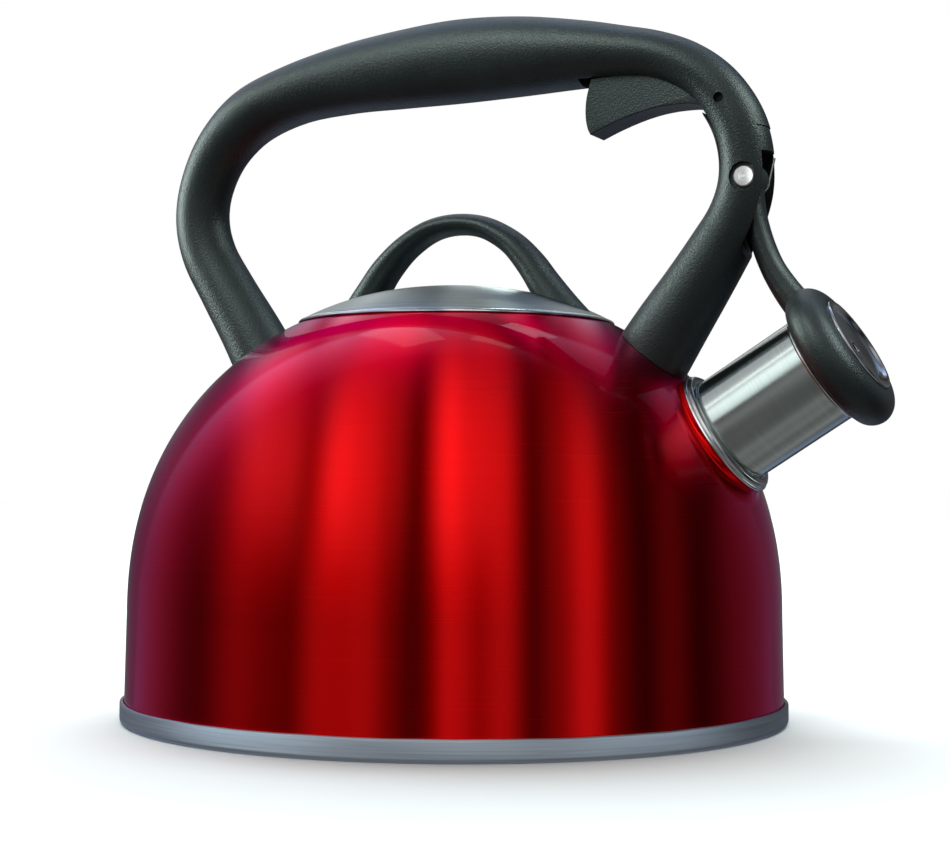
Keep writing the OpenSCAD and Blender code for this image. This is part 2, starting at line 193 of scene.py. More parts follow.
def plateMesh(name, outline, y0, y1):
    # an outline of the mirror plane given thickness from y0 to y1
    p = np.array(outline, float)
    n = len(p)
    area = (p[:, 0] * np.roll(p[:, 1], -1) - np.roll(p[:, 0], -1) * p[:, 1]).sum()
    p = p if area > 0 else p[::-1]
    points = np.concatenate([np.insert(p, 1, y0, 1), np.insert(p, 1, y1, 1)]) * mm
    i = np.arange(n)
    sides = np.stack([i + n, (i + 1) % n + n, (i + 1) % n, i], 1).tolist()
    mesh = bpy.data.meshes.new(name)
    mesh.from_pydata(points, [], [i.tolist()[::-1], *sides, (i + n).tolist()])
    work = bmesh.new()
    work.from_mesh(mesh)
    bmesh.ops.recalc_face_normals(work, faces=work.faces)
    work.to_mesh(mesh)
    work.free()
    return mesh


def crossPin(name, at, radius, y0, y1, segments=96):
    # a plain round bar along Y through a point of the mirror plane
    return turned(name, [(0, y0), (radius, y0), (radius, y1), (0, y1)], segments, False,
                  (at[0], 0, at[1]), ((0, 1, 0), (0, 0, 1), (1, 0, 0)))


def solid(mesh):
    made = bpy.data.objects.new(mesh.name, mesh)
    bpy.context.scene.collection.objects.link(made)
    return made


def carve(piece, meshes, operation="DIFFERENCE"):
    # takes each mesh away from the piece, or adds or keeps what they share, and applies it
    cutters = [solid(m) for m in meshes]
    for cutter in cutters:
        step = piece.modifiers.new("cut", "BOOLEAN")
        step.object, step.operation, step.solver = cutter, operation, "MANIFOLD"
    bakeModifiers(piece)
    for cutter in cutters:
        bpy.data.objects.remove(cutter)
    return piece


def bakeModifiers(piece):
    bpy.context.view_layer.update()
    ready = piece.evaluated_get(bpy.context.evaluated_depsgraph_get())
    mesh = bpy.data.meshes.new_from_object(ready)
    piece.modifiers.clear()
    piece.data = mesh


def finishPiece(piece, body, replaced, finishes, sharpAngle=32):
    # smooth shading with crisp edges, its finish, its body and the CAD nodes it stands for
    piece.data.materials.clear()
    for finish in finishes:
        piece.data.materials.append(finish)
    piece.data.polygons.foreach_set("use_smooth", np.ones(len(piece.data.polygons), bool))
    piece.data.set_sharp_from_angle(angle=math.radians(sharpAngle))
    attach(piece, body)
    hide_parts(*replaced)
    return piece


def join(name, meshes):
    # several closed shells as one mesh
    work = bmesh.new()
    for mesh in meshes:
        work.from_mesh(mesh)
    made = bpy.data.meshes.new(name)
    work.to_mesh(made)
    work.free()
    return made


def startFinish(name):
    made = bpy.data.materials.new(name)
    made.use_nodes = True
    tree = made.node_tree
    tree.nodes.clear()
    out = addNode(tree, "ShaderNodeOutputMaterial")
    shader = addNode(tree, "ShaderNodeBsdfPrincipled")
    tree.links.new(shader.outputs["BSDF"], out.inputs["Surface"])
    return made, tree, shader


def times(tree, source, factor):
    # a value times a number, or times another value
    made = addNode(tree, "ShaderNodeMath", {"operation": "MULTIPLY"}, {0: source})
    if isinstance(factor, (int, float)):
        made.inputs[1].default_value = factor
    else:
        tree.links.new(factor, made.inputs[1])
    return made.outputs[0]


def mapped(tree, source, fromMin, fromMax, toMin, toMax, shape="LINEAR"):
    # a value carried from one range to another
    return addNode(tree, "ShaderNodeMapRange", {
        "interpolation_type": shape, "From Min": fromMin, "From Max": fromMax,
        "To Min": toMin, "To Max": toMax}, {"Value": source}).outputs["Result"]


def brushLines(tree, roundScale, lineScale):
    # fine lines that run round a turned piece: a noise on the object's x and y, and on the
    # distance along its profile, which the UV map holds in metres
    place = addNode(tree, "ShaderNodeTexCoord")
    uv = addNode(tree, "ShaderNodeUVMap", {"uv_map": "brush"})
    xyz = addNode(tree, "ShaderNodeSeparateXYZ", links={0: place.outputs["Object"]})
    run = addNode(tree, "ShaderNodeSeparateXYZ", links={0: uv.outputs["UV"]})
    joined = addNode(tree, "ShaderNodeCombineXYZ", links={
        "X": times(tree, xyz.outputs["X"], roundScale), "Y": times(tree, xyz.outputs["Y"], roundScale),
        "Z": times(tree, run.outputs["Y"], lineScale)})
    return addNode(tree, "ShaderNodeTexNoise", {"Scale": 1.0, "Detail": 3.0, "Roughness": 0.6},
                   {"Vector": joined.outputs[0]}).outputs["Fac"]


def ramp(tree, source, stops, shape="LINEAR"):
    # source mapped through (position, linear colour) stops
    made = addNode(tree, "ShaderNodeValToRGB", links={"Fac": source})
    made.color_ramp.interpolation = shape
    made.color_ramp.elements[0].position, made.color_ramp.elements[0].color = stops[0]
    made.color_ramp.elements[1].position, made.color_ramp.elements[1].color = stops[-1]
    for position, colour in stops[1:-1]:
        made.color_ramp.elements.new(position).color = colour
    return made.outputs["Color"]


def noise(tree, size, detail, roughness=0.5):
    # noise on the object's own coordinates, its grains size mm across
    place = addNode(tree, "ShaderNodeTexCoord").outputs["Object"]
    return addNode(tree, "ShaderNodeTexNoise", {
        "Scale": 1 / (size * mm), "Detail": detail, "Roughness": roughness}, {"Vector": place}
    ).outputs["Fac"]


def surface(tree, shader, settings, colourBy, stops, roughBy, bumpBy, bumpDepth):
    # colour between dark and light, roughness between its two values, and bump, from patterns
    colour = ramp(tree, colourBy, [(stops[0], linear(settings["dark"])),
                                   (stops[1], linear(settings["light"]))])
    tree.links.new(colour, shader.inputs["Base Color"])
    tree.links.new(mapped(tree, roughBy, 0.25, 0.75, *settings["roughness"]), shader.inputs["Roughness"])
    bump = addNode(tree, "ShaderNodeBump", {"Strength": settings["bump"], "Distance": bumpDepth},
                   {"Height": bumpBy})
    tree.links.new(bump.outputs[0], shader.inputs["Normal"])


def brushedFinish(name, settings):
    # metal brushed round its axis: lines along U, so light is drawn out across them
    made, tree, shader = startFinish(name)
    lines = brushLines(tree, settings["roundScale"], settings["lineScale"])
    surface(tree, shader, settings, lines, (0.3, 0.7), lines, lines, 0.00002)
    tangent = addNode(tree, "ShaderNodeTangent", {"direction_type": "UV_MAP", "uv_map": "brush"})
    tree.links.new(tangent.outputs[0], shader.inputs["Tangent"])
    for socket, value in {"Metallic": 1.0, "Anisotropic": settings["pull"], "Anisotropic Rotation": 0.25,
                          **settings.get("more", {})}.items():
        shader.inputs[socket].default_value = value
    return made


def plainMetal(name, settings):
    # metal left as it was cut or drawn: faint cloudy stains and fine pits
    made, tree, shader = startFinish(name)
    cloud, grain = noise(tree, settings["cloud"], 4.0), noise(tree, settings["grain"], 2.0)
    surface(tree, shader, settings, cloud, (0.35, 0.65), cloud, grain, 0.00002)
    shader.inputs["Metallic"].default_value = 1.0
    return made


def mouldedNylon(name, settings):
    # glass-filled nylon moulded in a spark-eroded tool: a matt charcoal grain, a little shine
    made, tree, shader = startFinish(name)
    grain, cloud = noise(tree, settings["grain"], 2.0, 0.7), noise(tree, settings["cloud"], 3.0)
    both = addNode(tree, "ShaderNodeMath", {"operation": "MULTIPLY_ADD", 1: 0.7}, {0: grain, 2: cloud})
    surface(tree, shader, settings, times(tree, both.outputs[0], 0.6), (0.35, 0.68), cloud, grain, 0.0002)
    for socket, value in settings["more"].items():
        shader.inputs[socket].default_value = value
    return made


# brushed steel under a deep red lacquer: tall red bands of light in the metal, a thin clear gloss
# over them, and a magenta cast at a glancing angle, where the lacquer is seen through its
# thickness. The brush lines are 0.3 mm apart, and faint
redLacquer = brushedFinish("redLacqueredSteel", {
    "roundScale": 12.0, "lineScale": 3200.0, "dark": "#f00306", "light": "#f80406",
    "roughness": (0.265, 0.275), "bump": 0.005, "pull": 0.97,
    "more": {"Coat Weight": 1.0, "Coat Roughness": 0.03, "Coat IOR": 1.15,
             "Specular Tint": linear("#ff50ff")}})
# stainless steel brushed round the spout with a fine belt, in lines 0.3 mm apart
brushedSteel = brushedFinish("brushedStainlessSteel", {
    "roundScale": 60.0, "lineScale": 3500.0, "dark": "#b3bcba", "light": "#c3cbc9",
    "roughness": (0.17, 0.22), "bump": 0.03, "pull": 0.6})
# stainless steel spun and brushed in circles on the lid: a soft wedge of light from its middle
lidSteel = brushedFinish("circleBrushedSteel", {
    "roundScale": 30.0, "lineScale": 2500.0, "dark": "#9aa3a1", "light": "#bcc3c2",
    "roughness": (0.32, 0.38), "bump": 0.05, "pull": 0.85})
# satin stainless steel of the base, spun to a dull even grey
baseSteel = brushedFinish("satinSpunSteel", {
    "roundScale": 25.0, "lineScale": 1800.0, "dark": "#a4adb6", "light": "#c3cad2",
    "roughness": (0.46, 0.54), "bump": 0.1, "pull": 0.4})
# drawn stainless steel, buffed bright on the bead and on the rim of the lid
polishedSteel = plainMetal("buffedSteel", {
    "cloud": 9.0, "grain": 0.6, "dark": "#c4c8ca", "light": "#d8dbdc",
    "roughness": (0.16, 0.24), "bump": 0.02})
# chromed brass of the whistle's dish, close to a mirror
chrome = plainMetal("chromedBrass", {
    "cloud": 12.0, "grain": 0.8, "dark": "#cdd1d2", "light": "#dfe2e3",
    "roughness": (0.06, 0.12), "bump": 0.01})
# turned steel of the rivet, its face left satin by the tool
turnedSteel = brushedFinish("turnedRivetSteel", {
    "roundScale": 200.0, "lineScale": 4000.0, "dark": "#c9cccc", "light": "#e2e4e4",
    "roughness": (0.34, 0.42), "bump": 0.2, "pull": 0.3})
# plain deep-drawn steel inside the kettle, and of the fixings: cloudy and half dull
insideSteel = plainMetal("drawnSteel", {
    "cloud": 14.0, "grain": 0.7, "dark": "#9a9da0", "light": "#b9bcbe",
    "roughness": (0.32, 0.46), "bump": 0.05})
# cast aluminium heat disc, dull and pale
castAluminium = plainMetal("castAluminium", {
    "cloud": 8.0, "grain": 0.5, "dark": "#a9adb1", "light": "#c9cccf",
    "roughness": (0.5, 0.62), "bump": 0.15})
# hard-drawn spring wire with a bright skin
springWire = plainMetal("springWire", {
    "cloud": 3.0, "grain": 0.3, "dark": "#b4b8ba", "light": "#d2d5d6",
    "roughness": (0.2, 0.3), "bump": 0.03})
# steel pin blackened in oil, which reads as a dark dot
blackSteel = plainMetal("blackenedSteel", {
    "cloud": 3.0, "grain": 0.3, "dark": "#1d2020", "light": "#2c3030",
    "roughness": (0.4, 0.5), "bump": 0.03})
# black glass-filled nylon of handle, trigger and lid handle: dull charcoal with tiny glints. The
# grain is drawn 0.6 mm across, coarser than a real one, so that it shows
handleNylon = mouldedNylon("mouldedHandleNylon", {
    "grain": 0.6, "cloud": 22.0, "dark": "#101414", "light": "#20262a",
    "roughness": (0.36, 0.44), "bump": 0.8,
    "more": {"IOR": 1.53, "Specular IOR Level": 0.55, "Specular Tint": linear("#dff0ea")}})
# the same nylon from a finer tool, on cap and whistle arm
capNylon = mouldedNylon("mouldedCapNylon", {
    "grain": 0.5, "cloud": 16.0, "dark": "#121616", "light": "#23292b",
    "roughness": (0.36, 0.42), "bump": 0.7,
    "more": {"IOR": 1.53, "Specular IOR Level": 0.55, "Specular Tint": linear("#dff0ea")}})
print("stage: finishes made")


# kettle body and spout, in mm; heart is a height inside the shell that its inner faces look at
bodySet = {"radius": 102.1, "shoulder": 33.5, "rise": 100.0, "squareness": 2.18, "flare": 0.02,
           "foot": 6.1, "wall": 1.0, "mouth": 46.2, "rimDepth": 8.0, "heart": 20.0, "bareFrom": 47.5,
           "segments": 384, "rows": 118}
spoutSet = {"angle": 32.4, "place": (90.9, 0.0, 89.5), "tube": 16.5, "bead": 20.0,
            "beadWidth": 2.6, "skirt": 3.4, "segments": 192}


def domeLine(grow, endRadius, count):
    # superellipse arc from the shoulder up to endRadius: radius cos^(2/n), height sin^(2/n)
    n, r, h = bodySet["squareness"], bodySet["radius"] + grow, bodySet["rise"] + grow
    end = math.acos((endRadius / r) ** (n / 2))
    a = end * np.linspace(0, 1, count) ** 1.6
    return np.stack([r * np.cos(a) ** (2 / n), bodySet["shoulder"] + h * np.sin(a) ** (2 / n)], 1)


def bodyProfile():
    # up the outside, over the rolled rim of the mouth, and down the inside
    b = bodySet
    lip = b["mouth"] + b["wall"]
    wallFoot = b["radius"] + b["flare"] * (b["shoulder"] - b["foot"])
    outside = evenly(np.concatenate([[(wallFoot, b["foot"])], domeLine(0, lip, 400)]), b["rows"])
    top = outside[-1, 1]
    rim = smoothPath([(lip, top), (lip - 0.35, top + 0.08), (lip - 0.8, top - 0.1), (lip - 1, top - 0.6),
                      (lip - 1, top - 3), (lip - 1, top - b["rimDepth"] + 0.1)], 3)[1:]
    inside = np.concatenate([[(wallFoot - 1, b["foot"])], domeLine(-b["wall"], lip, 200)])
    inside = evenly(inside, 46)[::-1]
    hem = [(lip, top - b["rimDepth"] + 0.1), (lip, top - 4)]
    return np.concatenate([outside, rim, hem, inside])


tilt = math.radians(spoutSet["angle"])
spoutAxes = np.array(((math.sin(tilt), 0, math.cos(tilt)), (0, 1, 0),
                      (-math.cos(tilt), 0, math.sin(tilt))))
spoutPlace = np.array(spoutSet["place"])


def onSpout(distance):
    return spoutPlace + distance * spoutAxes[:, 2]


def domeUnder(across):
    # distance along the spout's axis at which points across it meet the dome, by halving
    b = bodySet
    low, high = np.full(across.shape[:-1], -30.0), np.full(across.shape[:-1], 8.0)
    for _ in range(40):
        middle = (low + high) / 2
        p = across + middle[..., None] * spoutAxes[:, 2]
        r, z = np.hypot(p[..., 0], p[..., 1]), np.maximum(p[..., 2] - b["shoulder"], 0)
        n = b["squareness"]
        outside = (r / b["radius"]) ** n + (z / b["rise"]) ** n > 1
        low, high = np.where(outside, low, middle), np.where(outside, middle, high)
    return (low + high) / 2


def neckSkirt(name):
    # collar drawn up round the spout: a wall under the bead that sweeps out into the dome on a
    # quarter ellipse, carried round the spout, with its underside sunk in the dome's sheet
    s = spoutSet
    top, inner, outer = -s["beadWidth"] - 0.02, s["tube"] + 0.06, s["bead"] - 0.5
    bend = np.linspace(0, 1, 15)
    radius = np.concatenate([[inner, outer - 0.5, outer - 0.12, outer], outer + s["skirt"] * bend[1:],
                             [outer + s["skirt"] + 1.6, outer + s["skirt"] + 1.7, inner]])
    a = 2 * math.pi * np.arange(s["segments"]) / s["segments"]
    around = np.cos(a)[:, None] * spoutAxes[:, 0] + np.sin(a)[:, None] * spoutAxes[:, 1]
    across = spoutPlace + radius[:, None, None] * around[None]
    dome = domeUnder(across)
    rise = np.maximum(top - 0.45 - dome[3], 0.2)
    sweep = 1 - np.sqrt(1 - (1 - bend[1:]) ** 2)
    wall = np.stack([np.full_like(rise, top), np.full_like(rise, top), np.full_like(rise, top - 0.12),
                     dome[3] + rise])
    fillet = dome[4:4 + len(sweep)] + rise * sweep[:, None] + 0.004
    sunk = np.stack([dome[-3] - 0.03, dome[-2] - 0.5, dome[-1] - 0.8])
    height = np.concatenate([wall, fillet, sunk])
    mesh = gridMesh(name, across + height[..., None] * spoutAxes[:, 2], True, True)
    # the brushing follows the body, so U and V are those of the body's own turning
    at = readAll(mesh.vertices, "co", 3)[readAll(mesh.loops, "vertex_index", 1, int)[:, 0]]
    uv = np.stack([np.arctan2(at[:, 1], at[:, 0]) / (2 * math.pi), at[:, 2] * 1.4], 1)
    mesh.uv_layers["brush"].data.foreach_set("uv", uv.astype(np.float32).ravel())
    return mesh


def spoutTurned(name, profile, distance, closed=True, segments=None):
    # a profile turned round the spout's axis, from a distance along it
    return turned(name, profile, segments or spoutSet["segments"], closed, onSpout(distance), spoutAxes)


bore = [(0, -40), (spoutSet["tube"] + 0.03, -40), (spoutSet["tube"] + 0.03, 6), (0, 6)]
shell = solid(turned("bodyShell", bodyProfile(), bodySet["segments"], True))
carve(shell, [spoutTurned("bore", bore, 0, False, 128)])
shell.data = join("bodyShell", [shell.data, neckSkirt("neck")])
finishPiece(shell, "kettle", ["body_shell"], [redLacquer, insideSteel])
centre = readAll(shell.data.polygons, "center", 3)
fromHeart = centre - (0, 0, bodySet["heart"] * mm)
facesIn = (readAll(shell.data.polygons, "normal", 3) * fromHeart).sum(1) < 0
facesIn &= np.hypot(centre[:, 0], centre[:, 1]) > bodySet["bareFrom"] * mm
shell.data.polygons.foreach_set("material_index", facesIn.astype(np.int32))  # bare steel inside

# base edge, in mm
baseSet = {"radius": 104.0, "height": 6.6, "sheet": 1.2, "segments": 384, "wobble": 0.09}


def baseMesh(name):
    # rolled edge of the base: a straight side, a rounded foot and a hand-spun top edge whose
    # height wanders a little as sums of sines round it
    b = baseSet
    r, h, t = b["radius"], b["height"], b["sheet"]
    line = rounded([(0, 0, 0), (r - 1, 0, 1.2), (r, 1, 1.2), (r, h, 0.75), (r - t, h, 0.35),
                    (r - t, 0.8, 0.3), (0, 0.8, 0)], 5)
    a = 2 * math.pi * np.arange(b["segments"]) / b["segments"]
    wander = sum(w * np.sin(k * a + k * k) for k, w in ((5, 0.5), (13, 0.35), (23, 0.3), (41, 0.2)))
    grid = np.stack([line[:, :1] * np.cos(a), line[:, :1] * np.sin(a),
                     np.repeat(line[:, 1:], len(a), 1)], -1)
    upper = np.clip((line[:, 1:] - 4.5) / 1.5, 0, 1) * (line[:, :1] > 90)
    grid[..., 2] -= b["wobble"] * upper * (wander + 1.35)
    return gridMesh(name, grid, False, True, along=profileLength(line, False))


baseCap = finishPiece(solid(baseMesh("baseCap")), "kettle", ["base_cap"], [baseSteel])

# spout tube and its bead: corners are (radius, distance along the spout, rounding)
tubeLine = rounded([(15.8, -20, 0.1), (16.5, -20, 0.1), (16.5, 32.45, 0.4), (17, 32.6, 0.3),
                    (17, 33.4, 0.35), (15.8, 33.4, 0.3)], 6)
spoutTube = finishPiece(solid(spoutTurned("spoutTube", tubeLine, 0)), "kettle", ["spout_tube"],
                        [brushedSteel])
beadLine = rounded([(16.55, 0, 0.1), (19.6, 0, 0.4), (20, 0.45, 0.4), (20, 1.15, 0.5),
                    (19.35, 1.35, 0.25), (19.45, 1.9, 0.4), (18.7, 2.6, 0.6), (17.2, 2.6, 0.5),
                    (16.9, 2.2, 0.2), (16.55, 2.2, 0.1)], 6)
spoutBead = finishPiece(solid(spoutTurned("spoutBead", beadLine, -spoutSet["beadWidth"])), "kettle",
                        ["spout_bead"], [polishedSteel])
print("stage: body, base and spout made")

# handle: path stations are x, z, half thickness and half width, in mm; outlines are x, z
handleSet = {
    "path": [(-61, 97, 11.5, 11.5), (-69.5, 111, 11, 11), (-77, 123.5, 10.2, 10.4),
             (-86.5, 138, 9.4, 9.8), (-94, 150.5, 9.1, 9.5), (-96.9, 162.5, 8.9, 9.4),
             (-95, 174.5, 8.8, 9.5), (-88.5, 186.5, 9.2, 9.8), (-77, 196.4, 9.8, 10.4),
             (-60, 202.4, 10, 11), (-40, 205.6, 11.3, 11.5), (-20, 207, 12.6, 11.9),
             (1, 207.7, 13.3, 12), (22, 207.3, 12.5, 11.9), (42.5, 206, 10.5, 11.6),
             (56, 204.6, 8.9, 11.2), (67, 202.8, 8, 10.7), (76.5, 199.2, 7.8, 10.2),
             (84.5, 193.6, 7.8, 9.8), (90.3, 186.5, 8, 9.5), (94.2, 178.5, 8.2, 9.4),
             (96, 169.5, 8.3, 9.3), (95.6, 160.5, 8.6, 9.3), (92.5, 151.5, 8.9, 9.4),
             (86.7, 142, 9.5, 9.7), (79.4, 131, 10.3, 10.2), (72.1, 120.5, 11.2, 10.8),
             (62.5, 106, 12.2, 11.4)],
    "channel": [(44, 170), (44, 208.4), (60, 207.6), (78, 201.6), (86, 197), (92.6, 191.6),
                (96.6, 185.4), (98.7, 178.9), (120, 178.9), (120, 139), (97, 139), (93.4, 148), (89.9, 158),
                (89.5, 168), (87.8, 178), (83.5, 184), (80, 180), (60, 170)],
    "channelHalf": 6.0, "pin": (90.1, 187.0), "pinRadius": 1.5, "rivet": (97.5, 163.4), "rivetRadius": 2.0,
    "sink": 4.3, "sinkFace": 7.9, "through": 14, "sides": 72, "steps": 9,
    "feet": [(66, 113.4, 34.3), (-69.5, 111, -31.3)], "screwUp": 13.0, "screwSink": 4.1,
    "screwFloor": 6.3}


def domeCutter(name):
    # the dome and what is under it, a tenth of a millimetre proud
    line = domeLine(0.1, 6, 120)
    profile = np.concatenate([[(0, 60)], [(line[0, 0], 60)], evenly(line[30:], 90),
                              [(0, line[-1, 1] + 0.03)]])
    return turned(name, profile, 256, False)


def screwSink(name, foot):
    # round recess that a leg screw goes in by, square to the leg
    t = math.radians(foot[2])
    along = np.array((math.cos(t), 0, -math.sin(t)))
    up = np.array((math.sin(t), 0, math.cos(t)))
    place = np.array((foot[0], 0, foot[1])) + handleSet["screwUp"] * up
    sideways = np.array((0, 1, 0))
    ownAxes = np.stack([sideways, np.cross(along, sideways), along], 1)
    radius, end = handleSet["screwSink"], -handleSet["screwFloor"]
    return turned(name, [(0, -20), (radius, -20), (radius, end), (0, end)], 64, False, place, ownAxes)


h = handleSet
handle = solid(sweptBar("handle", h["path"], h["steps"], h["sides"]))
neckCut = [(0, -30), (spoutSet["bead"] - 0.4, -30), (spoutSet["bead"] - 0.4, 0), (0, 0)]
carve(handle, [domeCutter("dome"), spoutTurned("neckCut", neckCut, 0, False, 128),
               plateMesh("channel", h["channel"], -h["channelHalf"], h["channelHalf"]),
               crossPin("pinHole", h["pin"], h["pinRadius"], -h["through"], 7.5, 48),
               crossPin("rivetHole", h["rivet"], h["rivetRadius"], -h["through"], h["through"], 48),
               crossPin("sinkNear", h["rivet"], h["sink"], -h["through"], -h["sinkFace"]),
               crossPin("sinkFar", h["rivet"], h["sink"], h["sinkFace"], h["through"]),
               screwSink("screwFront", h["feet"][0]), screwSink("screwRear", h["feet"][1])])
finishPiece(handle, "kettle", ["handle"], [handleNylon], 28)

# plug that closes the slot: the handle's own surface, 0.3 mm in, kept inside an outline
coverOutline = [(99.4, 178.7), (98.9, 172.6), (100.2, 171.4), (112, 171.4), (112, 178.7)]
cover = solid(sweptBar("slotCover", h["path"], h["steps"], h["sides"], -0.3))
carve(cover, [plateMesh("coverKeep", coverOutline, -5.85, 5.85)], "INTERSECT")
finishPiece(cover, "kettle", ["slot_cover"], [handleNylon], 28)

rivetLine = rounded([(0, -8.95, 0), (1.5, -8.95, 0.5), (2.75, -8.9, 0.3), (3.1, -8.6, 0.3),
                     (3.1, -7.92, 0.1), (2, -7.92, 0.1), (2, 8.76, 0.1), (2.9, 8.8, 0.3),
                     (2.5, 9.25, 0.4), (1.2, 9.4, 0.6), (0, 9.4, 0)], 4)
rivetMesh = turned("armRivet", rivetLine, 96, False, (h["rivet"][0], 0, h["rivet"][1]),
                   ((0, 1, 0), (0, 0, 1), (1, 0, 0)))
rivet = finishPiece(solid(rivetMesh), "kettle", ["arm_rivet"], [turnedSteel], 50)
print("stage: handle made")

# trigger and whistle arm, in mm: the outline is x, z, the arm's stations are as the handle's
leverSet = {
    "outline": [(48.2, 196.8), (46.7, 191), (46.4, 186), (47, 182), (48, 179.8), (54.7, 182.5),
                (62.2, 184.9), (69, 186.3), (76, 186.8), (82, 186.3), (87.5, 183.4), (90.1, 191.2),
                (86, 191.4), (80, 193.2), (72, 195.8), (62, 197.2)],
    "half": 5.6, "hub": 4.0, "underside": 3.4, "edge": 0.35,
    "armPath": [(97.5, 160.5, 3.6, 4.6), (98.2, 155.6, 3.2, 4.7), (99.3, 150, 3.2, 4.8),
                (101.2, 143.4, 3.4, 4.8), (103.8, 137.2, 3.6, 4.9), (107.2, 131.6, 4, 5),
                (111, 126.5, 4.4, 5.2), (115.1, 121.8, 4.8, 5.4)],
    "armHub": 4.6}
leverRun = np.array(h["rivet"]) - np.array(h["pin"])
reach = float(np.linalg.norm(leverRun))
leverU = leverRun / reach
leverE = np.array((-leverU[1], leverU[0]))


def leverPoint(along, across):
    # a point of the mirror plane along the line from pin to rivet and across it
    return np.array(h["pin"]) + along * leverU + across * leverE


def triggerMesh(name):
    # the lever's plate, its outline smoothed, with a full round along the underside and a small
    # one on its other edges
    g = leverSet
    o = g["outline"]
    under = smoothPath(o[4:11], 6)
    front = smoothPath(o[:5], 5)
    upper = smoothPath(o[11:] + o[:1], 4)
    line = np.concatenate([front[:-1], under, upper[:-1]])
    plate = solid(plateMesh(name, line, -g["half"], g["half"]))
    bevelWeights = plate.data.attributes.new("bevel_weight_edge", "FLOAT", "EDGE")
    ends = readAll(plate.data.edges, "vertices", 2, int)
    co = readAll(plate.data.vertices, "co", 3) / mm
    a, b = co[ends[:, 0]], co[ends[:, 1]]
    rim = np.abs(a[:, 1] - b[:, 1]) < 0.01
    middle = (a + b) / 2
    low = (middle[:, 2] < 188) & (middle[:, 0] > 48) & (middle[:, 0] < 88)
    edge = g["edge"] / g["underside"]
    weight = np.where(rim, np.where(low, 1.0, edge), 0.0)
    bevelWeights.data.foreach_set("value", weight.astype(np.float32))
    bevel = plate.modifiers.new("rounds", "BEVEL")
    bevel.limit_method, bevel.width, bevel.segments = "WEIGHT", g["underside"] * mm, 7
    bevel.use_clamp_overlap = True
    bakeModifiers(plate)
    mesh = plate.data
    bpy.data.objects.remove(plate)
    return mesh


tail = [leverPoint(0, -3), leverPoint(0, 3.6), leverPoint(9, 3.2), leverPoint(18, 3),
        leverPoint(18, 0.2), leverPoint(6, 0.2)]
trigger = solid(triggerMesh("trigger"))
carve(trigger, [crossPin("hub", h["pin"], leverSet["hub"], -leverSet["half"], leverSet["half"]),
                plateMesh("tail", tail, -4.8, 1.6)], "UNION")
carve(trigger, [crossPin("pinBore", h["pin"], h["pinRadius"] + 0.05, -h["through"], h["through"], 48)])
finishPiece(trigger, "trigger", ["trigger"], [handleNylon], 30)

horn = [leverPoint(reach, -2.4), leverPoint(reach, -0.1), leverPoint(reach - 7.4, -0.1),
        leverPoint(reach - 7.4, -1.8), leverPoint(reach - 6.6, -2.4)]
arm = solid(sweptBar("whistleArm", leverSet["armPath"], 10, 48))
carve(arm, [crossPin("armHub", h["rivet"], leverSet["armHub"], -5.2, 1.5),
            plateMesh("horn", horn, -4.5, 1.3)], "UNION")
carve(arm, [crossPin("springRoom", h["rivet"], 6, 1.6, 8),
            crossPin("rivetBore", h["rivet"], h["rivetRadius"] + 0.05, -h["through"], h["through"], 48)])
finishPiece(arm, "whistle", ["whistle_arm"], [capNylon], 35)

# whistle cap and its dish, in mm
capSet = {"start": 33.7, "radius": 22.7, "thick": 11.6, "dishSeat": 1.8}
c = capSet
capOuter = smoothPath([(14.05, 0), (c["radius"] - 6.4, 0), (c["radius"] - 4.2, 0.1),
                       (c["radius"] - 2.1, 1.0), (c["radius"] - 0.6, 2.9), (c["radius"], 5.3),
                       (c["radius"] - 0.4, 7.5), (c["radius"] - 1.7, 9.5), (c["radius"] - 3.7, 10.9),
                       (c["radius"] - 6.0, c["thick"]), (15.9, c["thick"])], 7)
seat = c["thick"] - c["dishSeat"]
capLine = np.concatenate([capOuter, rounded([(15.2, c["thick"], 0.25), (15.06, seat, 0.05),
                                             (14.06, seat, 0.05)], 4)])
capShell = finishPiece(solid(spoutTurned("capShell", capLine, c["start"])), "whistle", ["cap_shell"],
                       [capNylon], 40)
dishLine = rounded([(1.6, 0, 0.1), (15, 0, 0.1), (15, 2.35, 0.35), (14.5, 2.7, 0.5), (13.3, 2.7, 0.6),
                    (12.3, 1.9, 0.6), (11.2, 1.45, 1.5), (4, 0.95, 3), (2.1, 0.9, 0.4),
                    (1.6, 0.6, 0.2)], 6)
dish = finishPiece(solid(spoutTurned("whistleDish", dishLine, c["start"] + seat)), "whistle",
                   ["whistle_dish"], [chrome], 45)
print("stage: trigger, arm and cap made")

# lid, in mm: edge is its height above the table, the path's stations are as the handle's
lidSet = {"radius": 50.0, "edge": 124.0, "rise": 11.4, "curve": 2.35, "sheet": 0.7, "rimFrom": 48.3,
          "screwAt": 30.0, "screwLean": 15.0, "screwHole": 1.75,
          "path": [(-39.5, 120, 6.6, 7.6), (-35, 127.5, 5.9, 7.4), (-30, 135.5, 5, 7),
                   (-25, 142.4, 4.5, 6.7), (-18, 149, 3.9, 6.5), (-9, 154, 3.5, 6.4),
                   (0.5, 155.5, 3.4, 6.4), (10, 154, 3.5, 6.4), (19, 149, 3.9, 6.5),
                   (25.5, 142.4, 4.5, 6.7), (30.5, 135.5, 5, 7), (35.9, 127.5, 6.2, 7.4),
                   (41, 120, 7.8, 7.6)]}


def lidTop(r):
    # height = edge + rise * (1 - (r / radius) ^ curve)
    return lidSet["edge"] + lidSet["rise"] * (1 - (np.asarray(r) / lidSet["radius"]) ** lidSet["curve"])


